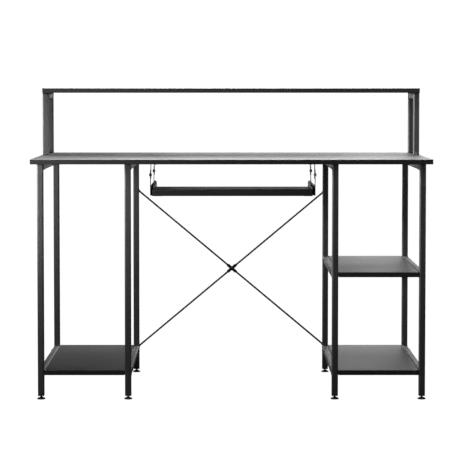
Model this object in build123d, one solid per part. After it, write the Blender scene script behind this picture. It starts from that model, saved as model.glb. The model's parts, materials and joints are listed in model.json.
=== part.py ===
from build123d import *
import os
from math import atan2, degrees, hypot

# A desk with a raised rear shelf, two open side units and a sliding keyboard tray.
# Millimetres. X runs along the desk to the right, Y to the back and Z up from the floor.
# The origin is on the floor, under the middle of the tabletop.

# Overall size
desk_width = 1200
desk_depth = 600
desk_height = 936
tabletop_top = 724

# Boards: melamine-faced, with a small break along every edge
board = 15
edge_break = 1.0

# Square steel tube of the frames
tube_size = 19
tube_wall = 1.2
tube_corner = 3.5
half_tube = tube_size / 2
tube_inside = tube_size - 2 * tube_wall
inside_corner = tube_corner - tube_wall

# Side frames
frame_half_depth = 270
outer_frame_x = 573
inner_frame_x = 311
lower_shelf_top = 88.5
middle_shelf_top = 384
shelf_gap = 0.5
leg_y = frame_half_depth - half_tube
rail_half_length = frame_half_depth - tube_size
tabletop_bottom = tabletop_top - board
lower_rail_z = lower_shelf_top - half_tube
middle_rail_z = middle_shelf_top - half_tube
top_rail_z = tabletop_bottom - half_tube

# Raised shelf and the two risers that carry it
top_shelf_front = 77
top_shelf_back = 277
riser_front = 86
riser_back = 267
riser_x = desk_width / 2 - half_tube
top_shelf_bottom = desk_height - board
riser_rail_z = top_shelf_bottom - half_tube
riser_plate = 3
cap_flange = 2.5
cap_plug = 12
plug_fit = 0.1
plug_width = tube_inside - 2 * plug_fit
plug_corner = inside_corner - plug_fit

# Levelling feet and the threaded plugs in the leg ends
leg_bottom = 11.8
insert_flange = 1.5
insert_chamfer = 0.8
insert_plug = 26.5
insert_bore_depth = 26
insert_bore = 6.1
insert_bottom = leg_bottom - insert_flange
foot_diameter = 24.6
foot_rim = 3.2
foot_top = 6.5
foot_hub = 10.5
foot_chamfer = 0.5
stem_diameter = 6
stem_end_gap = 0.1

# Cross brace behind the inner back legs: two round rods flattened at their ends and where they cross
brace_middle_z = 342.3
brace_spread = {-1: 263.5, 1: 257.5}
rod_diameter = 6
pad_thickness = 2
pad_width = 10
end_pad_tail = 7
end_pad_length = 9
middle_pad_half = 16
pad_taper = 5
brace_hole = 5.2
brace_screw = 5
brace_screw_length = 12
brace_head = 9
brace_head_height = 2.8
brace_nut_across = 8
brace_nut_height = 4
brace_bolt_length = 9

# M6 bolts and the inserts they screw into
bolt_diameter = 5.9
bolt_length = 30
bolt_head = 11
bolt_head_height = 2.6
bolt_socket = 4
bolt_socket_depth = 1.4
bolt_clearance = 6.4
thread_bore = 6
insert_diameter = 9
insert_length = 12
insert_fit = 0.1
tabletop_bolt_y = 170
shelf_bolt_y = 190
top_shelf_bolt_y = (116.5, 236.5)

# Head shapes, as shares of a head's height or width and of a shank's diameter
head_round = 0.6
recess_width = 0.55
recess_slot = 0.14
recess_depth = 0.6
point_taper = 0.3

# Small screws of the hangers and the tray
screw_diameter = 4
screw_length = 12
screw_head = 8
screw_head_height = 2
screw_clearance = 4.4
screw_fit = 0.1

# Keyboard tray. Distances named *_u are measured sideways from the tray's middle plane.
tray_x = 4
lip_x = 2
lip_width = 480
lip_front = -265
lip_height = 20
lip_round = 3
tray_bottom = 612.7
tray_back = -10
slide_front = -249.5
slide_back = 50
slide_z = 628.5
tray_screw_y = (-215, -125, -35)
tray_screw_u = 226

# Ball-bearing slides: an outer channel, a cage of balls and an inner channel with a flange under the tray
outer_web_u = (246.0, 247.0)
outer_lip_u = 240.2
outer_half_height = 15
outer_sheet = 1.2
inner_web_u = (238.3, 239.3)
inner_flange_end_u = 244
inner_half_height = 10.1
inner_sheet = 1.2
inner_back = 40
tray_flange_u = 213
cage_web_u = (244.6, 245.2)
cage_arm_u = 239.7
cage_sheet = 0.8
cage_front = -111
cage_back = 39
ball_diameter = 3.5
ball_fit = 0.1
ball_u = 242.1
ball_z = 11.95
balls_in_row = 6
ball_pitch = 26
stop_length = 9
stop_half_height = 13.7
stop_u = (240.3, 245.9)

# Hangers: an angle under the tabletop and a side plate down to the slide
hanger_y = (-234, 34)
hanger_half_width = 15
hanger_sheet = 1.5
side_plate_u = outer_web_u[1]
side_plate_top = 691
top_plate_u = side_plate_u - hanger_sheet
top_plate_bottom = 663
hanger_flange_u = 221
hanger_screw_u = 233
hanger_screw_offset = 8
hanger_bolt_z = 675
hanger_bolt_length = 5
hanger_bolt_head = 10
hanger_bolt_head_height = 3.2
slot_width = 6.4
slot_height = 22

left, right = -1, 1
side_names = {left: "left", right: "right"}
frame_places = {"outer": outer_frame_x, "inner": inner_frame_x}


def save(name, *solids):
    """Write one sub-part, which may be a group of identical pieces."""
    shape = solids[0] if len(solids) == 1 else Compound(list(solids))
    export_step(shape, os.path.join("parts", name + ".step"))


def block(low, high):
    """Box from its lowest corner to its highest."""
    size = [high[i] - low[i] for i in range(3)]
    middle = [(high[i] + low[i]) / 2 for i in range(3)]
    return Pos(*middle) * Box(*size)


def aimed(point, direction, shape):
    """Put a shape, built from the origin along +Z, at a point and along a direction."""
    return Plane(origin=point, z_dir=direction).location * shape


def pin(diameter, length):
    """Cylinder standing on the origin along +Z."""
    return Cylinder(diameter / 2, length, align=(Align.CENTER, Align.CENTER, Align.MIN))


def hole(point, direction, diameter, length):
    """Cylinder to cut away, starting at a point."""
    return aimed(point, direction, pin(diameter, length))


def hexagon(across_flats, height):
    """Hexagonal prism standing on the origin along +Z."""
    return extrude(RegularPolygon(across_flats / 2, 6, major_radius=False), height)


def moved_along(point, direction, distance):
    """Point a distance further along a direction."""
    return tuple(point[i] + direction[i] * distance for i in range(3))


# Fasteners: each is built with the underside of its head at the origin and its shank along +Z.


def socket_bolt(diameter, length, head, head_height):
    """Button-head bolt with a hexagon socket."""
    dome = Pos(0, 0, -head_height) * pin(head, head_height)
    dome = fillet(dome.edges().sort_by(Axis.Z)[0], head_height * head_round)
    socket = Pos(0, 0, -head_height) * hexagon(bolt_socket, bolt_socket_depth)
    return dome - socket + pin(diameter, length)


def pan_screw(diameter, length, head, head_height):
    """Pan-head screw with a cross recess and a pointed end."""
    cap = Pos(0, 0, -head_height) * pin(head, head_height)
    cap = fillet(cap.edges().sort_by(Axis.Z)[0], head_height * head_round)
    arm = (head * recess_width, head * recess_slot, head_height * recess_depth)
    recess = Box(*arm) + Rot(0, 0, 90) * Box(*arm)
    shank = pin(diameter, length)
    shank = chamfer(shank.edges().sort_by(Axis.Z)[-1], diameter * point_taper)
    return cap - Pos(0, 0, -head_height) * recess + shank


def frame_bolt_places():
    """Every M6 frame bolt: the point under its head, its direction and how deep its insert begins."""
    up = (0, 0, 1)
    places = []
    for side in (left, right):
        for frame_x in frame_places.values():
            for y in (-tabletop_bolt_y, tabletop_bolt_y):
                point = (side * frame_x, y, tabletop_bottom - tube_size)
                places.append(("tabletop", point, up, tube_size))
        for y in top_shelf_bolt_y:
            point = (side * riser_x, y, top_shelf_bottom - tube_size)
            places.append(("top_shelf", point, up, tube_size))
        for name, top in shelf_tops(side).items():
            for head_x, along in (
                (outer_frame_x + half_tube, -side),
                (inner_frame_x - half_tube, side),
            ):
                for y in (-shelf_bolt_y, shelf_bolt_y):
                    point = (side * head_x, y, top - board / 2)
                    places.append((name, point, (along, 0, 0), tube_size + shelf_gap))
    return places


def riser_bolt_places():
    """The bolts that come up through the tabletop into the plate welded in each riser post."""
    return [
        (side * riser_x, y, tabletop_bottom) for side in (left, right) for y in riser_post_ys()
    ]


def riser_post_ys():
    return riser_front + half_tube, riser_back - half_tube


def shelf_tops(side):
    """Heights of the shelf tops in one side unit, by the shelf's name."""
    if side == left:
        return {"left_lower_shelf": lower_shelf_top}
    return {"right_lower_shelf": lower_shelf_top, "right_middle_shelf": middle_shelf_top}


# Boards


def panel(low, high):
    """Board with every edge slightly broken."""
    shape = block(low, high)
    return chamfer(shape.edges(), edge_break)


def with_insert_bores(shape, name):
    """Bore a board for each threaded insert that it holds."""
    for owner, point, direction, depth in frame_bolt_places():
        if owner == name:
            mouth = moved_along(point, direction, depth)
            bore = insert_diameter + insert_fit
            shape -= hole(mouth, direction, bore, insert_length + insert_fit)
    return shape


def tabletop():
    half_width, half_depth = desk_width / 2, desk_depth / 2
    shape = panel((-half_width, -half_depth, tabletop_bottom), (half_width, half_depth, tabletop_top))
    shape = with_insert_bores(shape, "tabletop")
    for point in riser_bolt_places():
        shape -= hole(point, (0, 0, 1), bolt_clearance, board)
    for point in hanger_screw_points():
        shape -= hole(point, (0, 0, 1), screw_diameter + screw_fit, screw_length)
    return shape


def top_shelf():
    half_width = desk_width / 2
    low = (-half_width, top_shelf_front, top_shelf_bottom)
    high = (half_width, top_shelf_back, desk_height)
    return with_insert_bores(panel(low, high), "top_shelf")


def side_shelf(side, name, top):
    """Shelf that fits between the inner and outer frames of one side unit."""
    near = inner_frame_x + half_tube + shelf_gap
    far = outer_frame_x - half_tube - shelf_gap
    x_low, x_high = sorted((side * near, side * far))
    shape = panel((x_low, -frame_half_depth, top - board), (x_high, frame_half_depth, top))
    return with_insert_bores(shape, name)


# Tube frames


def tube(length):
    """Square tube standing on the origin along +Z."""
    section = RectangleRounded(tube_size, tube_size, tube_corner)
    section -= RectangleRounded(tube_inside, tube_inside, inside_corner)
    return extrude(section, length)


def upright(x, y, z_low, z_high):
    return Pos(x, y, z_low) * tube(z_high - z_low)


def rail(x, y_front, y_back, z):
    return Pos(x, y_back, z) * Rot(90, 0, 0) * tube(y_back - y_front)


def drilled_for_bolts(shape, owners, x):
    """Drill a rail for the frame bolts that go through it into the named boards."""
    for owner, point, direction, depth in frame_bolt_places():
        if owner in owners and abs(point[0] - x) <= half_tube:
            shape -= hole(point, direction, bolt_clearance, tube_size)
    return shape


def leg(side, place, y):
    x = side * frame_places[place]
    shape = upright(x, y, leg_bottom, tabletop_bottom)
    if place == "inner" and y > 0:
        for point in brace_ends(side):
            shape -= hole(point, (0, -1, 0), brace_hole, half_tube)
    return shape


def frame_rail(side, place, z, owner):
    x = side * frame_places[place]
    shape = rail(x, -rail_half_length, rail_half_length, z)
    return drilled_for_bolts(shape, (owner,), x)


def riser_post(side, y):
    """Post with a threaded plate welded in its bottom end."""
    x = side * riser_x
    shape = upright(x, y, tabletop_top, top_shelf_bottom - cap_flange)
    shape += Pos(x, y, tabletop_top) * extrude(Rectangle(tube_inside, tube_inside), riser_plate)
    return shape - hole((x, y, tabletop_top), (0, 0, 1), thread_bore, riser_plate)


def riser_rail(side):
    x = side * riser_x
    shape = rail(x, riser_front + tube_size, riser_back - tube_size, riser_rail_z)
    return drilled_for_bolts(shape, ("top_shelf",), x)


def riser_cap(x, y):
    """Plastic plug in the top of a riser post."""
    flange = extrude(RectangleRounded(tube_size, tube_size, tube_corner), cap_flange)
    plug = extrude(RectangleRounded(plug_width, plug_width, plug_corner), -cap_plug)
    return Pos(x, y, top_shelf_bottom - cap_flange) * (flange + plug)


# Feet


def foot_places():
    """Leg centres on the floor plan, by name."""
    places = {}
    for side in (left, right):
        for place, frame_x in frame_places.items():
            for row, y in (("front", -leg_y), ("back", leg_y)):
                places[f"{side_names[side]}_{place}_{row}"] = (side * frame_x, y)
    return places


def foot_insert(x, y):
    """Threaded plastic plug in the bottom of a leg, closed at its top."""
    flange = extrude(RectangleRounded(tube_size, tube_size, tube_corner), insert_flange)
    flange = chamfer(flange.faces().sort_by(Axis.Z)[0].edges(), insert_chamfer)
    plug = extrude(RectangleRounded(plug_width, plug_width, plug_corner), insert_plug)
    shape = flange + Pos(0, 0, insert_flange) * plug
    shape -= pin(insert_bore, insert_bore_depth)
    return Pos(x, y, insert_bottom) * shape


def foot(x, y):
    """Round foot with a threaded stem that bottoms out in its plug."""
    disc = pin(foot_diameter, foot_rim)
    disc = chamfer(disc.edges().sort_by(Axis.Z)[0], foot_chamfer)
    align = (Align.CENTER, Align.CENTER, Align.MIN)
    hub = Pos(0, 0, foot_rim) * Cone(
        foot_diameter / 2 - foot_chamfer, foot_hub / 2, foot_top - foot_rim, align=align
    )
    stem_top = insert_bottom + insert_bore_depth - stem_end_gap
    return Pos(x, y, 0) * (disc + hub + pin(stem_diameter, stem_top))


# Cross brace


def brace_ends(side):
    """Upper and lower brace screw on the rear face of one inner back leg."""
    spread = brace_spread[side]
    x = side * inner_frame_x
    return [(x, frame_half_depth, brace_middle_z + dz) for dz in (spread, -spread)]


def brace_crossing_x():
    """Where the two rods cross: nearer the side whose screws are closer together."""
    spread_left, spread_right = brace_spread[left], brace_spread[right]
    return inner_frame_x * (spread_left - spread_right) / (spread_left + spread_right)


def flat_pad(start, end, y_low):
    """Flattened stretch of rod with round ends, from start to end along X."""
    length = end - start + pad_width
    outline = SlotOverall(length, pad_width)
    plane = Plane(origin=((start + end) / 2, y_low, 0), x_dir=(1, 0, 0), z_dir=(0, 1, 0))
    return extrude(plane * outline, pad_thickness)


def pad_shoulder(rod_x, pad_x, pad_y):
    """Taper from the round rod to a flattened stretch."""
    away = (1, 0, 0) if pad_x > rod_x else (-1, 0, 0)
    round_end = Plane(origin=(rod_x, 0, 0), x_dir=(0, 1, 0), z_dir=away) * Circle(rod_diameter / 2)
    flat_end = Plane(origin=(pad_x, pad_y, 0), x_dir=(0, 1, 0), z_dir=away) * Rectangle(
        pad_thickness, pad_width
    )
    return loft([round_end, flat_end])


def brace_rod(start, end, middle_pad_y):
    """Rod along X with its axis at y = 0, then turned to run from start to end."""
    run, drop = end[0] - start[0], start[2] - end[2]
    length = hypot(run, drop)
    crossing = length * (brace_crossing_x() - start[0]) / run
    rod_offset = rod_diameter / 2
    half_pad = pad_width / 2
    end_pad_y = pad_thickness / 2 - rod_offset
    flats = (
        (-end_pad_tail + pad_width / 2, end_pad_length, end_pad_y),
        (crossing - middle_pad_half, crossing + middle_pad_half, middle_pad_y),
        (length - end_pad_length, length + end_pad_tail - pad_width / 2, end_pad_y),
    )
    shape = None
    for begin, finish, y in flats:
        y_low, y_high = y - pad_thickness / 2, y + pad_thickness / 2
        inset_begin = begin + half_pad if begin > 0 else begin
        inset_finish = finish - half_pad if finish < length else finish
        pad = flat_pad(inset_begin, inset_finish, y_low)
        shape = pad if shape is None else shape + pad
        if begin > 0:
            square = block((begin, y_low, -half_pad), (inset_begin, y_high, half_pad))
            shape += square + pad_shoulder(begin - pad_taper, begin, y)
        if finish < length:
            square = block((inset_finish, y_low, -half_pad), (finish, y_high, half_pad))
            shape += square + pad_shoulder(finish + pad_taper, finish, y)
    for first, second in ((flats[0], flats[1]), (flats[1], flats[2])):
        begin, finish = first[1] + pad_taper, second[0] - pad_taper
        shape += aimed((begin, 0, 0), (1, 0, 0), pin(rod_diameter, finish - begin))
    for x in (0, crossing, length):
        shape -= hole((x, -rod_diameter, 0), (0, 1, 0), brace_hole, 2 * rod_diameter)
    turned = Rot(0, degrees(atan2(drop, run)), 0) * shape
    return Pos(start[0], frame_half_depth + rod_offset, start[2]) * turned


def brace_fasteners():
    """Four end screws, the bolt through the crossing and its nut."""
    pieces = []
    end_screw = pan_screw(brace_screw, brace_screw_length, brace_head, brace_head_height)
    for side in (left, right):
        for x, y, z in brace_ends(side):
            pieces.append(aimed((x, y + pad_thickness, z), (0, -1, 0), end_screw))
    centre = (brace_crossing_x(), frame_half_depth + rod_diameter / 2, brace_middle_z)
    bolt = pan_screw(brace_screw, brace_bolt_length, brace_head, brace_head_height)
    pieces.append(aimed(moved_along(centre, (0, 1, 0), pad_thickness), (0, -1, 0), bolt))
    nut = hexagon(brace_nut_across, brace_nut_height)
    nut -= pin(brace_screw + screw_fit, brace_nut_height)
    pieces.append(aimed(moved_along(centre, (0, -1, 0), pad_thickness), (0, -1, 0), nut))
    return pieces


# Keyboard tray and its slides. Slide parts are built on the right and mirrored for the left.


def on_side(side, shape):
    """Move a part built on the right of the tray's middle plane to its place on either side."""
    if side == left:
        shape = mirror(shape, about=Plane.YZ)
    return Pos(tray_x, 0, 0) * shape


def tray_screw_points(side):
    return [(tray_x + side * tray_screw_u, y, tray_bottom - inner_sheet) for y in tray_screw_y]


def tray_board():
    half = inner_web_u[0]
    low = (tray_x - half, lip_front + board, tray_bottom)
    high = (tray_x + half, tray_back, tray_bottom + board)
    shape = panel(low, high)
    for side in (left, right):
        for point in tray_screw_points(side):
            shape -= hole(point, (0, 0, 1), screw_diameter + screw_fit, screw_length)
    return shape


def tray_front_lip():
    """Strip along the board's front edge, with its upper front edge rounded off."""
    low = (lip_x - lip_width / 2, lip_front, tray_bottom)
    high = (lip_x + lip_width / 2, lip_front + board, tray_bottom + lip_height)
    shape = block(low, high)
    upper_front = shape.edges().filter_by(Axis.X).group_by(Axis.Z)[-1].sort_by(Axis.Y)[0]
    shape = fillet(upper_front, lip_round)
    lower_edges = shape.faces().sort_by(Axis.Z)[0].edges()
    return chamfer(lower_edges, edge_break)


def slide_outer():
    """Outer channel, open towards the tray."""
    top = slide_z + outer_half_height
    bottom = slide_z - outer_half_height
    shape = block((outer_web_u[0], slide_front, bottom), (outer_web_u[1], slide_back, top))
    for low, high in ((bottom, bottom + outer_sheet), (top - outer_sheet, top)):
        shape += block((outer_lip_u, slide_front, low), (outer_web_u[1], slide_back, high))
    return shape


def slide_inner():
    """Inner channel, whose web runs down to a flange under the tray board."""
    top = slide_z + inner_half_height
    under = tray_bottom - inner_sheet
    shape = block((inner_web_u[0], slide_front, under), (inner_web_u[1], inner_back, top))
    for z in (top - inner_sheet, slide_z - inner_half_height):
        low = (inner_web_u[0], slide_front, z)
        shape += block(low, (inner_flange_end_u, inner_back, z + inner_sheet))
    flange_low = (tray_flange_u, slide_front, under)
    shape += block(flange_low, (inner_web_u[1], tray_back, tray_bottom))
    for y in tray_screw_y:
        shape -= hole((tray_screw_u, y, under), (0, 0, 1), screw_clearance, inner_sheet)
    return shape


def ball_centres():
    """Ball centres of one slide: an upper and a lower row."""
    middle = (cage_front + cage_back) / 2
    first = middle - ball_pitch * (balls_in_row - 1) / 2
    return [
        (ball_u, first + ball_pitch * i, slide_z + row * ball_z)
        for row in (-1, 1)
        for i in range(balls_in_row)
    ]


def slide_cage():
    """Thin retainer with a pocket for every ball."""
    half_height = ball_z + cage_sheet / 2
    low = (cage_web_u[0], cage_front, slide_z - half_height)
    shape = block(low, (cage_web_u[1], cage_back, slide_z + half_height))
    for row in (-1, 1):
        z = slide_z + row * ball_z - cage_sheet / 2
        shape += block((cage_arm_u, cage_front, z), (cage_web_u[1], cage_back, z + cage_sheet))
    for x, y, z in ball_centres():
        pocket = hole((x, y, z - cage_sheet), (0, 0, 1), ball_diameter + ball_fit, 2 * cage_sheet)
        shape -= pocket
    return shape


def slide_balls():
    return Compound([Pos(*centre) * Sphere(ball_diameter / 2) for centre in ball_centres()])


def slide_rear_stop():
    low = (stop_u[0], slide_back - stop_length, slide_z - stop_half_height)
    return block(low, (stop_u[1], slide_back, slide_z + stop_half_height))


# Hangers


def hanger_top_plate(y):
    """Angle screwed under the tabletop."""
    front, back = y - hanger_half_width, y + hanger_half_width
    shape = block((top_plate_u, front, top_plate_bottom), (side_plate_u, back, tabletop_bottom))
    flange_low = (hanger_flange_u, front, tabletop_bottom - hanger_sheet)
    shape += block(flange_low, (side_plate_u, back, tabletop_bottom))
    shape -= hole((top_plate_u, y, hanger_bolt_z), (1, 0, 0), thread_bore, hanger_sheet)
    for offset in (-hanger_screw_offset, hanger_screw_offset):
        point = (hanger_screw_u, y + offset, tabletop_bottom - hanger_sheet)
        shape -= hole(point, (0, 0, 1), screw_clearance, hanger_sheet)
    return shape


def hanger_side_plate(y):
    """Plate spot-welded to the outer channel, with an upright slot that sets the tray's height."""
    low = (side_plate_u, y - hanger_half_width, slide_z - outer_half_height)
    high = (side_plate_u + hanger_sheet, y + hanger_half_width, side_plate_top)
    shape = block(low, high)
    plane = Plane(origin=(side_plate_u, y, hanger_bolt_z), x_dir=(0, 0, 1), z_dir=(1, 0, 0))
    return shape - extrude(plane * SlotOverall(slot_height, slot_width), hanger_sheet)


def hanger_bolt(y):
    bolt = socket_bolt(bolt_diameter, hanger_bolt_length, hanger_bolt_head, hanger_bolt_head_height)
    return aimed((side_plate_u + hanger_sheet, y, hanger_bolt_z), (-1, 0, 0), bolt)


def hanger_screw_points():
    """Screws up through the hanger flanges into the tabletop."""
    return [
        (tray_x + side * hanger_screw_u, y + offset, tabletop_bottom - hanger_sheet)
        for side in (left, right)
        for y in hanger_y
        for offset in (-hanger_screw_offset, hanger_screw_offset)
    ]


# Groups of fasteners


def frame_bolts():
    bolt = socket_bolt(bolt_diameter, bolt_length, bolt_head, bolt_head_height)
    pieces = [aimed(point, direction, bolt) for _, point, direction, _ in frame_bolt_places()]
    return pieces + [aimed(point, (0, 0, 1), bolt) for point in riser_bolt_places()]


def board_inserts():
    sleeve = pin(insert_diameter, insert_length) - pin(thread_bore, insert_length)
    return [
        aimed(moved_along(point, direction, depth), direction, sleeve)
        for _, point, direction, depth in frame_bolt_places()
    ]


def small_screws(points):
    screw = pan_screw(screw_diameter, screw_length, screw_head, screw_head_height)
    return [aimed(point, (0, 0, 1), screw) for point in points]


def write_boards():
    save("tabletop", tabletop())
    save("top_shelf", top_shelf())
    for side in (left, right):
        for name, top in shelf_tops(side).items():
            save(name, side_shelf(side, name, top))


def write_leg_frames():
    for side in (left, right):
        rails = {"top_rail": (top_rail_z, "tabletop")}
        for shelf in shelf_tops(side):
            level = shelf.split("_")[1]
            height = lower_rail_z if level == "lower" else middle_rail_z
            rails[level + "_rail"] = (height, shelf)
        for place in frame_places:
            prefix = f"{side_names[side]}_{place}_"
            save(prefix + "front_leg", leg(side, place, -leg_y))
            save(prefix + "back_leg", leg(side, place, leg_y))
            for name, (z, owner) in rails.items():
                save(prefix + name, frame_rail(side, place, z, owner))


def write_risers():
    front_y, back_y = riser_post_ys()
    for side in (left, right):
        prefix = side_names[side] + "_riser_"
        save(prefix + "front_post", riser_post(side, front_y))
        save(prefix + "back_post", riser_post(side, back_y))
        save(prefix + "top_rail", riser_rail(side))
    caps = [riser_cap(side * riser_x, y) for side in (left, right) for y in (front_y, back_y)]
    save("riser_post_caps", *caps)


def write_feet():
    for name, (x, y) in foot_places().items():
        save(name + "_foot", foot(x, y))
    save("foot_inserts", *[foot_insert(x, y) for x, y in foot_places().values()])


def write_brace():
    upper_left, lower_left = brace_ends(left)
    upper_right, lower_right = brace_ends(right)
    save("brace_rod_a", brace_rod(upper_left, lower_right, -pad_thickness / 2))
    save("brace_rod_b", brace_rod(lower_left, upper_right, pad_thickness / 2))
    save("brace_fasteners", *brace_fasteners())


def write_tray():
    save("tray_board", tray_board())
    save("tray_front_lip", tray_front_lip())
    save("tray_screws", *small_screws(tray_screw_points(left) + tray_screw_points(right)))
    for side in (left, right):
        prefix = side_names[side] + "_slide_"
        save(prefix + "outer", on_side(side, slide_outer()))
        save(prefix + "inner", on_side(side, slide_inner()))
        save(prefix + "cage", on_side(side, slide_cage()))
        save(prefix + "balls", on_side(side, slide_balls()))
    save("slide_rear_stops", *[on_side(side, slide_rear_stop()) for side in (left, right)])


def write_hangers():
    places = [(side, y) for side in (left, right) for y in hanger_y]
    save("hanger_top_plates", *[on_side(side, hanger_top_plate(y)) for side, y in places])
    save("hanger_side_plates", *[on_side(side, hanger_side_plate(y)) for side, y in places])
    save("hanger_bolts", *[on_side(side, hanger_bolt(y)) for side, y in places])
    save("hanger_screws", *small_screws(hanger_screw_points()))


def write_fasteners():
    save("frame_bolts", *frame_bolts())
    save("board_inserts", *board_inserts())


os.makedirs("parts", exist_ok=True)
write_boards()
write_leg_frames()
write_risers()
write_feet()
write_brace()
write_tray()
write_hangers()
write_fasteners()
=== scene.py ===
import json
import math
import random

import bmesh
import bpy
from mathutils import Matrix, Vector


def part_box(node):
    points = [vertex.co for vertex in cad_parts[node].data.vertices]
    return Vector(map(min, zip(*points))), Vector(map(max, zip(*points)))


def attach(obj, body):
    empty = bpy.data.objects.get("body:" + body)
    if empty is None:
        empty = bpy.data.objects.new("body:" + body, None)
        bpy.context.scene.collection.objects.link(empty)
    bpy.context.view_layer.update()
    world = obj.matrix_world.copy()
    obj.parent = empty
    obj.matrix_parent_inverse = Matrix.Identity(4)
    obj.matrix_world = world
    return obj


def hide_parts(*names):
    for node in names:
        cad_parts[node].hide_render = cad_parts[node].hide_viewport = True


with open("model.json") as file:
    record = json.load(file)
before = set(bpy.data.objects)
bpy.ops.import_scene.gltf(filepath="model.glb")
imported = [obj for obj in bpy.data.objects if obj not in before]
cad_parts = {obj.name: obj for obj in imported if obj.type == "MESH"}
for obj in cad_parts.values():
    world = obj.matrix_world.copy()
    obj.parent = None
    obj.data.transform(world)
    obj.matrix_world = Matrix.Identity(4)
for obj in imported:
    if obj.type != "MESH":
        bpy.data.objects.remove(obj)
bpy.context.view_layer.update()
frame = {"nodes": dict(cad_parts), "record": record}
nodes = frame["nodes"]
scene = bpy.context.scene

# Lengths are in metres.

# Camera: the view from the front, a little left of the desk's middle and at the height of the raised shelf.
# The tilt and the turn are in radians, the lens in millimetres and the shift in picture widths.
camera_place = (-0.0230, -5.6154, 0.9302)
camera_tilt = 0.04994
camera_turn = 0.00106
camera_lens = 140.09
camera_shift = (0.0093, -0.11)

# Square tube and the weld beads on it
tube_half = 0.0095
tube_corner = 0.0035
bead_radius = 0.0017
bead_step = 0.0008
bead_ripple = 0.09
bead_sink = 0.0007
bead_side_reach = 0.0012
bead_back_off = 0.0003
bead_end_size = 0.45
bead_end_growth = 0.3

# Threaded stems of the feet
stem_radius = 0.003
thread_depth = 0.00045
thread_pitch = 0.001
thread_rows = 6
thread_flank = 2.2
foot_sides = 40

# Softened edges and joined points of the parts
sheet_edge = 0.0002
board_edge = 0.00035
edge_angle = 32.0
seam_weld = 0.000001
ball_weld = 0.00002

# Crown of the tube faces
crown_radius = 0.006
crown_samples = 8

# Studio. A soft box has a name, a place, a size and a power in watts.
backdrop_white = 1.05
room_light = 0.03
floor_size = 60.0
floor_level = -0.0105
desk_middle = (0.0, 0.0, 0.5)
soft_boxes = (
    ("over", (0.0, 0.3, 2.6), 1.5, 200.0),
    ("over_back", (0.0, 1.2, 2.2), 1.2, 55.0),
    ("back_left", (-2.5, 4.3, 0.9), 1.3, 25.0),
    ("back_right", (1.6, 4.4, 2.2), 2.0, 20.0),
    ("back", (0.3, 5.0, 0.9), 1.3, 5.0),
    ("front_left", (-0.8, -1.6, 0.7), 0.6, 2.0),
    ("front_right", (1.5, -2.5, 1.0), 0.8, 2.0),
    ("left_low", (-1.0, -0.5, 0.6), 0.3, 2.0),
    ("right", (2.6, 0.2, 0.9), 0.9, 10.0),
)
spot_place = (-2.6, -0.7, 1.1)
spot_aim = (0.0, -0.2, 0.8)
spot_cone = 30.0
spot_power = 400.0
spot_radius = 0.2


def set_camera():
    data = bpy.data.cameras.new("camera")
    data.lens = camera_lens
    data.sensor_width = 36.0
    data.shift_x, data.shift_y = camera_shift
    data.clip_end = 100.0
    data.dof.use_dof = False
    camera = bpy.data.objects.new("camera", data)
    camera.location = camera_place
    camera.rotation_euler = (math.pi / 2 - camera_tilt, 0.0, -camera_turn)
    scene.collection.objects.link(camera)
    scene.camera = camera


# Materials


class Shader:
    """A material's node tree with short calls to add nodes and join them."""

    def __init__(self, name):
        self.material = bpy.data.materials.new(name)
        self.material.use_nodes = True
        self.tree = self.material.node_tree
        self.surface = self.tree.nodes["Principled BSDF"]
        coordinates = self.add("ShaderNodeTexCoord")
        self.place = coordinates.outputs["Object"]
        self.facing = coordinates.outputs["Normal"]

    def add(self, kind, **settings):
        node = self.tree.nodes.new(kind)
        for key, value in settings.items():
            setattr(node, key, value)
        return node

    def feed(self, socket, value):
        """Give an input socket a constant or the output of another node."""
        if isinstance(value, bpy.types.NodeSocket):
            self.tree.links.new(value, socket)
        else:
            socket.default_value = value

    def noise(self, scale, detail=2.0, stretch=None):
        node = self.add("ShaderNodeTexNoise")
        self.feed(node.inputs["Vector"], self.stretched(stretch) if stretch else self.place)
        self.feed(node.inputs["Scale"], scale)
        self.feed(node.inputs["Detail"], detail)
        return node.outputs["Fac"]

    def stretched(self, factors):
        node = self.add("ShaderNodeVectorMath", operation="MULTIPLY")
        self.feed(node.inputs[0], self.place)
        self.feed(node.inputs[1], factors)
        return node.outputs["Vector"]

    def ramp(self, value, low, high, to_low=0.0, to_high=1.0):
        node = self.add("ShaderNodeMapRange")
        for name, v in (
            ("Value", value),
            ("From Min", low),
            ("From Max", high),
            ("To Min", to_low),
            ("To Max", to_high),
        ):
            self.feed(node.inputs[name], v)
        return node.outputs["Result"]

    def math(self, operation, first, second=0.0):
        node = self.add("ShaderNodeMath", operation=operation)
        self.feed(node.inputs[0], first)
        self.feed(node.inputs[1], second)
        return node.outputs["Value"]

    def blend(self, share, first, second):
        """Mix of two colours."""
        node = self.add("ShaderNodeMix", data_type="RGBA")
        self.feed(node.inputs[0], share)
        self.feed(node.inputs[6], first)
        self.feed(node.inputs[7], second)
        return node.outputs[2]

    def edges(self):
        """1 on broken edges and rounded corners, 0 on faces square to an axis."""
        size = self.add("ShaderNodeVectorMath", operation="ABSOLUTE")
        self.feed(size.inputs[0], self.facing)
        split = self.add("ShaderNodeSeparateXYZ")
        self.feed(split.inputs[0], size.outputs["Vector"])
        level = self.math("MAXIMUM", split.outputs[0], split.outputs[1])
        widest = self.math("MAXIMUM", level, split.outputs[2])
        return self.ramp(widest, 0.96, 0.80)

    def bump(self, height, strength, distance, under=None):
        node = self.add("ShaderNodeBump")
        self.feed(node.inputs["Height"], height)
        self.feed(node.inputs["Strength"], strength)
        self.feed(node.inputs["Distance"], distance)
        if under is not None:
            self.feed(node.inputs["Normal"], under)
        return node.outputs["Normal"]

    def finish(self, **inputs):
        for name, value in inputs.items():
            self.feed(self.surface.inputs[name.replace("_", " ")], value)
        return self.material


def grey(level):
    return (level, level, level, 1.0)


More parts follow.
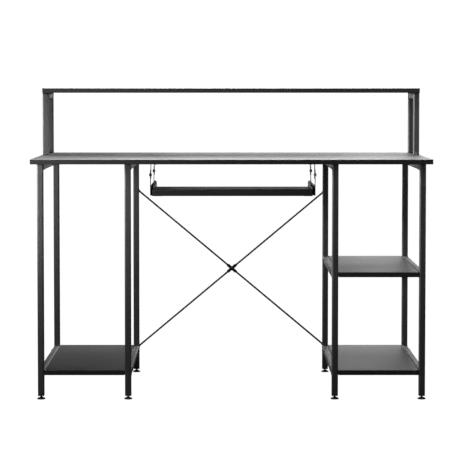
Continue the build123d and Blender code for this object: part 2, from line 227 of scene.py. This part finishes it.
def powder_coat(name, dark, pale, square):
    """Fine orange peel with a few faint scuffs; square tube also has crowned faces and rubbed corners."""
    s = Shader(name)
    peel = s.noise(1100.0, 2.0)
    flow = s.noise(260.0, 2.0)
    patches = s.noise(9.0, 3.0)
    scuffs = s.ramp(s.noise(170.0, 4.0, (1.0, 1.0, 0.1)), 0.68, 0.76)
    worn = s.math("MULTIPLY", scuffs, 0.12)
    relief = 0.03
    crown = None
    if square:
        relief = 0.14
        rubbed = s.math("MULTIPLY", s.edges(), s.ramp(s.noise(45.0, 5.0), 0.52, 0.68))
        worn = s.math("MAXIMUM", s.math("MULTIPLY", rubbed, 0.3), worn)
        bevel = s.add("ShaderNodeBevel", samples=crown_samples)
        s.feed(bevel.inputs["Radius"], crown_radius)
        crown = bevel.outputs["Normal"]
    colour = s.blend(worn, s.blend(patches, grey(dark), grey(pale)), grey(2 * pale))
    roughness = s.math("ADD", s.ramp(patches, 0.3, 0.7, 0.37, 0.42), s.math("MULTIPLY", worn, 0.12))
    normal = s.bump(peel, relief, 0.00012, s.bump(flow, relief / 2, 0.0002, crown))
    return s.finish(Base_Color=colour, Roughness=roughness, Normal=normal, Specular_IOR_Level=1.0)


def laminate():
    """Black melamine with a fine embossed grain along the desk and lightly rubbed edges."""
    s = Shader("laminate")
    pores = s.noise(520.0, 4.0, (0.07, 1.0, 1.0))
    grain = s.noise(60.0, 5.0, (0.06, 1.0, 1.0))
    patches = s.noise(5.0, 3.0)
    rubbed = s.math("MULTIPLY", s.edges(), s.ramp(s.noise(30.0, 5.0), 0.45, 0.65))
    marks = s.ramp(s.noise(38.0, 6.0, (1.0, 0.35, 1.0)), 0.69, 0.78)
    worn = s.math("MAXIMUM", s.math("MULTIPLY", rubbed, 0.5), s.math("MULTIPLY", marks, 0.12))
    fibre = s.ramp(grain, 0.35, 0.65)
    colour = s.blend(worn, s.blend(fibre, grey(0.022), grey(0.028)), grey(0.07))
    spread = s.math("ADD", s.ramp(patches, 0.3, 0.7, 0.38, 0.42), s.math("MULTIPLY", fibre, 0.02))
    normal = s.bump(pores, 0.20, 0.00006, s.bump(grain, 0.06, 0.0001))
    return s.finish(Base_Color=colour, Roughness=spread, Normal=normal)


def moulded_plastic():
    """Black plastic with a spark-eroded grain."""
    s = Shader("moulded_plastic")
    grain = s.noise(1500.0, 2.0)
    patches = s.noise(60.0, 2.0)
    scratches = s.ramp(s.noise(240.0, 4.0, (0.2, 1.0, 1.0)), 0.66, 0.74)
    return s.finish(
        Base_Color=s.blend(s.math("MULTIPLY", scratches, 0.3), grey(0.020), grey(0.06)),
        Roughness=s.ramp(patches, 0.3, 0.7, 0.45, 0.58),
        Normal=s.bump(grain, 0.3, 0.00008),
    )


def black_steel():
    """Black-plated screws, with the plating worn at the corners."""
    s = Shader("black_steel")
    patches = s.noise(260.0, 3.0)
    rubbed = s.math("MULTIPLY", s.edges(), s.ramp(s.noise(400.0, 3.0), 0.5, 0.65))
    return s.finish(
        Base_Color=s.blend(s.math("MULTIPLY", rubbed, 0.5), grey(0.035), grey(0.25)),
        Metallic=0.7,
        Roughness=s.ramp(patches, 0.3, 0.7, 0.28, 0.42),
        Normal=s.bump(s.noise(1800.0, 2.0), 0.2, 0.00005),
    )


def slide_steel():
    """Black electro-coated strip with faint rolling lines along its length."""
    s = Shader("slide_steel")
    lines = s.noise(900.0, 3.0, (1.0, 0.03, 1.0))
    patches = s.noise(40.0, 3.0)
    rubbed = s.math("MULTIPLY", s.edges(), s.ramp(s.noise(60.0, 4.0), 0.5, 0.66))
    return s.finish(
        Base_Color=s.blend(s.math("MULTIPLY", rubbed, 0.5), grey(0.045), grey(0.16)),
        Metallic=0.3,
        Roughness=s.ramp(patches, 0.3, 0.7, 0.30, 0.40),
        Normal=s.bump(lines, 0.15, 0.00005),
    )


def zinc(name, tint_low, tint_high, stretch, rough_low, rough_high):
    """Zinc-plated or polished steel."""
    s = Shader(name)
    patches = s.noise(150.0, 3.0)
    return s.finish(
        Base_Color=s.blend(patches, tint_low, tint_high),
        Metallic=1.0,
        Roughness=s.ramp(patches, 0.3, 0.7, rough_low, rough_high),
        Normal=s.bump(s.noise(1200.0, 2.0, stretch), 0.15, 0.00005),
    )


def make_paints():
    """One material for each slot of the record."""
    bluish, yellowish = (0.50, 0.51, 0.53, 1.0), (0.62, 0.62, 0.59, 1.0)
    return {
        "black_laminate": laminate(),
        "black_powder_coat": powder_coat("tube_coat", 0.052, 0.068, True),
        "foot_plastic": moulded_plastic(),
        "plug_plastic": moulded_plastic(),
        "black_fasteners": black_steel(),
        "slide_steel": slide_steel(),
        "zinc_fasteners": zinc("zinc_screws", bluish, yellowish, (1.0, 1.0, 1.0), 0.25, 0.42),
        "cage_steel": zinc("zinc_strip", bluish, yellowish, (1.0, 0.05, 1.0), 0.28, 0.42),
        "ball_steel": zinc("bearing_balls", grey(0.62), grey(0.70), (1.0, 1.0, 1.0), 0.10, 0.16),
    }


def paint_nodes():
    """Give each part its slot's material; the thin rods have a darker coat than the tubes."""
    rod_coat = powder_coat("rod_coat", 0.012, 0.018, False)
    for part in frame["record"]["subparts"]:
        mesh = nodes[part["node"]].data
        mesh.materials.clear()
        is_rod = part["node"].startswith("brace_rod")
        mesh.materials.append(rod_coat if is_rod else paints[part["material_slot"]])


def close_balls():
    """Join the crowded points at the poles of the bearing balls, so that each ball is a closed mesh."""
    for part in frame["record"]["subparts"]:
        if part["material_slot"] == "ball_steel":
            weld = nodes[part["node"]].modifiers.new("weld", "WELD")
            weld.merge_threshold = ball_weld


def soften_edges():
    """Round the edges of boards, sheet metal and plugs that the CAD model leaves sharp."""
    widths = {
        "black_laminate": board_edge,
        "slide_steel": sheet_edge,
        "plug_plastic": sheet_edge,
    }
    for part in frame["record"]["subparts"]:
        width = sheet_edge if part["node"].startswith("hanger_") else widths.get(part["material_slot"])
        node = nodes[part["node"]]
        if width and not node.hide_render:
            weld = node.modifiers.new("weld", "WELD")
            weld.merge_threshold = seam_weld
            bevel = node.modifiers.new("bevel", "BEVEL")
            bevel.width = width
            bevel.segments = 2
            bevel.limit_method = "ANGLE"
            bevel.angle_limit = math.radians(edge_angle)


# Mesh helpers


def new_piece(name, bm, body, material, smooth_angle=40.0):
    """Turn a bmesh into a piece that rides on a body."""
    bmesh.ops.recalc_face_normals(bm, faces=bm.faces[:])
    mesh = bpy.data.meshes.new(name)
    bm.to_mesh(mesh)
    bm.free()
    mesh.polygons.foreach_set("use_smooth", [True] * len(mesh.polygons))
    mesh.set_sharp_from_angle(angle=math.radians(smooth_angle))
    mesh.materials.append(material)
    piece = bpy.data.objects.new(name, mesh)
    scene.collection.objects.link(piece)
    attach(piece, body)
    return piece


def add_tube(bm, points, radii, sides=10):
    """Tube with closed ends along a line of points, with its own radius at each point."""
    rings = []
    for i, point in enumerate(points):
        along = (points[min(i + 1, len(points) - 1)] - points[max(i - 1, 0)]).normalized()
        across = along.orthogonal() if i == 0 else (across - along * across.dot(along))
        across.normalize()
        side = along.cross(across)
        rings.append(
            [
                bm.verts.new(point + radii[i] * (across * math.cos(a) + side * math.sin(a)))
                for a in (2 * math.pi * k / sides for k in range(sides))
            ]
        )
    for first, second in zip(rings, rings[1:]):
        for k in range(sides):
            n = (k + 1) % sides
            bm.faces.new((first[k], first[n], second[n], second[k]))
    bm.faces.new(rings[0][::-1])
    bm.faces.new(rings[-1])


# Weld beads where the rails meet the legs and posts


def square_outline(degrees, half, corner):
    """Point and outward direction on a rounded square's outline, at an angle seen from its middle."""
    angle = math.radians(degrees)
    x, z = math.cos(angle), math.sin(angle)
    reach = half / max(abs(x), abs(z))
    x, z = x * reach, z * reach
    flat = half - corner
    core = Vector((max(-flat, min(flat, x)), 0.0, max(-flat, min(flat, z))))
    out = (Vector((x, 0.0, z)) - core).normalized()
    return core + out * corner, out


def add_bead(bm, centre, y_leg, into_leg, start, end, seed):
    """Rippled bead round part of a rail's end, from a start angle to an end angle.

    The angles are in degrees from +X towards +Z. The rail's girth is close to eight times its half-width.
    """
    rng = random.Random(seed)
    steps = int(abs(end - start) / 360 * 8 * tube_half / bead_step)
    points, radii = [], []
    for i in range(steps + 1):
        place, out = square_outline(start + (end - start) * i / steps, tube_half, tube_corner)
        over_side = out.x * out.x
        y = y_leg + into_leg * (bead_side_reach * over_side - bead_back_off)
        points.append(Vector((centre.x, y, centre.z)) + place - out * bead_sink * over_side)
        ripple = 1 + bead_ripple * math.sin(i * math.pi / 2) + rng.uniform(-bead_ripple, bead_ripple) / 2
        taper = min(1.0, bead_end_size + bead_end_growth * min(i, steps - i))
        radii.append(bead_radius * ripple * taper)
    add_tube(bm, points, radii)


def weld_beads():
    """One piece of welds for each side frame and riser.

    A frame's bead leaves out the side that a board covers. A riser's is on its inner side and underside.
    """
    for side_name, side in (("left", -1), ("right", 1)):
        levels = ["top", "lower"] + (["middle"] if side > 0 else [])
        for place, shelf_side in (("outer", -side), ("inner", side)):
            bm = bmesh.new()
            for level in levels:
                low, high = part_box(f"{side_name}_{place}_{level}_rail")
                if level == "top":
                    start, end = 140, 400
                elif shelf_side > 0:
                    start, end = 50, 310
                else:
                    start, end = 230, 490
                for y, into in ((low.y, -1), (high.y, 1)):
                    add_bead(bm, (low + high) / 2, y, into, start, end, f"{side_name}{place}{level}{into}")
            name = f"{side_name}_{place}_frame_welds"
            new_piece(name, bm, "desk", paints["black_powder_coat"])
        bm = bmesh.new()
        low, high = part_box(f"{side_name}_riser_top_rail")
        start, end = (230, 400) if side < 0 else (140, 310)
        for y, into in ((low.y, -1), (high.y, 1)):
            add_bead(bm, (low + high) / 2, y, into, start, end, f"{side_name}riser{into}")
        new_piece(f"{side_name}_riser_welds", bm, "desk", paints["black_powder_coat"])


# Levelling feet


def foot_profile():
    """Radius and height up the foot, from the floor to the start of its stem."""
    return [
        (0.0, 0.0),
        (0.0098, 0.0),
        (0.0116, 0.00015),
        (0.0121, 0.0006),
        (0.0123, 0.0012),
        (0.0123, 0.0026),
        (0.0121, 0.0030),
        (0.0117, 0.0033),
        (0.0104, 0.0039),
        (0.0080, 0.0051),
        (0.0062, 0.0060),
        (0.0053, 0.0065),
        (0.0048, 0.0067),
        (0.0034, 0.0067),
        (0.0030, 0.0069),
    ]


def add_lathe(bm, profile, sides):
    """Surface of revolution about Z, and its last ring of vertices."""
    ring = None
    for radius, z in profile:
        if radius == 0.0:
            centre = bm.verts.new((0.0, 0.0, z))
            continue
        last, ring = ring, [
            bm.verts.new((radius * math.cos(a), radius * math.sin(a), z))
            for a in (2 * math.pi * k / sides for k in range(sides))
        ]
        for k in range(sides):
            n = (k + 1) % sides
            if last is None:
                bm.faces.new((centre, ring[n], ring[k]))
            else:
                bm.faces.new((last[k], last[n], ring[n], ring[k]))
    return ring


def add_thread(bm, ring, z_start, z_end):
    """Screw thread that carries on from a ring: its depth follows the angle and the height."""
    sides = len(ring)
    rows = int((z_end - z_start) / thread_pitch * thread_rows)
    for j in range(1, rows + 1):
        z = z_start + (z_end - z_start) * j / rows
        fade = min(1.0, (z - z_start) / thread_pitch, (z_end - z) / thread_pitch)
        last, ring = ring, []
        for k in range(sides):
            a = 2 * math.pi * k / sides
            phase = (z / thread_pitch - k / sides) % 1.0
            depth = thread_depth * fade * min(1.0, thread_flank * abs(phase - 0.5))
            radius = stem_radius - depth
            ring.append(bm.verts.new((radius * math.cos(a), radius * math.sin(a), z)))
        for k in range(sides):
            n = (k + 1) % sides
            bm.faces.new((last[k], last[n], ring[n], ring[k]))
    bm.faces.new(ring)


def levelling_feet():
    """Turned foot and threaded stem in place of each plain foot."""
    profile = foot_profile()
    stem_start = profile[-1][1]
    for name in sorted(n for n in nodes if n.endswith("_foot")):
        low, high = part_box(name)
        bm = bmesh.new()
        ring = add_lathe(bm, profile, foot_sides)
        add_thread(bm, ring, stem_start, high.z - low.z)
        bm.transform(Matrix.Translation(((low.x + high.x) / 2, (low.y + high.y) / 2, low.z)))
        piece = new_piece(f"{name}_turned", bm, name, paints["foot_plastic"])
        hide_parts(name)


# Studio


def world_light():
    """A dark room round the desk, with a white backdrop that only the camera sees."""
    world = bpy.data.worlds.new("studio")
    scene.world = world
    world.use_nodes = True
    tree = world.node_tree
    tree.nodes.clear()
    add, join = tree.nodes.new, tree.links.new
    room = add("ShaderNodeBackground")
    room.inputs["Color"].default_value = grey(1.0)
    room.inputs["Strength"].default_value = room_light
    backdrop = add("ShaderNodeBackground")
    backdrop.inputs["Color"].default_value = grey(1.0)
    backdrop.inputs["Strength"].default_value = backdrop_white
    seen = add("ShaderNodeMixShader")
    join(add("ShaderNodeLightPath").outputs["Is Camera Ray"], seen.inputs["Fac"])
    join(room.outputs[0], seen.inputs[1])
    join(backdrop.outputs[0], seen.inputs[2])
    join(seen.outputs[0], add("ShaderNodeOutputWorld").inputs["Surface"])


def place_light(data, place, aim):
    light = bpy.data.objects.new(data.name, data)
    light.location = place
    light.rotation_euler = (Vector(aim) - Vector(place)).to_track_quat("-Z", "Y").to_euler()
    light.visible_camera = False
    scene.collection.objects.link(light)


def soft_box(name, place, size, power):
    """A square light aimed at the middle of the desk."""
    data = bpy.data.lights.new(name, "AREA")
    data.shape = "SQUARE"
    data.size = size
    data.energy = power
    place_light(data, place, desk_middle)


def left_spot():
    """A soft-edged spot that lights the upper part of the desk."""
    data = bpy.data.lights.new("left_spot", "SPOT")
    data.shadow_soft_size = spot_radius
    data.spot_size = math.radians(spot_cone)
    data.spot_blend = 1.0
    data.energy = spot_power
    place_light(data, spot_place, spot_aim)


def white_floor():
    """A floor as white as the backdrop, below the feet's travel, that sends no light back to the desk."""
    bpy.ops.mesh.primitive_plane_add(size=floor_size, location=(0.0, 0.0, floor_level))
    floor = bpy.context.object
    floor.name = "floor"
    material = bpy.data.materials.new("white_floor")
    material.use_nodes = True
    surface = material.node_tree.nodes["Principled BSDF"]
    surface.inputs["Base Color"].default_value = grey(0.0)
    surface.inputs["Specular IOR Level"].default_value = 0.0
    surface.inputs["Emission Color"].default_value = grey(1.0)
    surface.inputs["Emission Strength"].default_value = backdrop_white
    floor.data.materials.append(material)
    floor.visible_glossy = False
    floor.visible_diffuse = False


def make_studio():
    world_light()
    white_floor()
    for box in soft_boxes:
        soft_box(*box)
    left_spot()


set_camera()
paints = make_paints()
paint_nodes()
weld_beads()
levelling_feet()
close_balls()
soften_edges()
make_studio()
scene.view_settings.view_transform = "Standard"
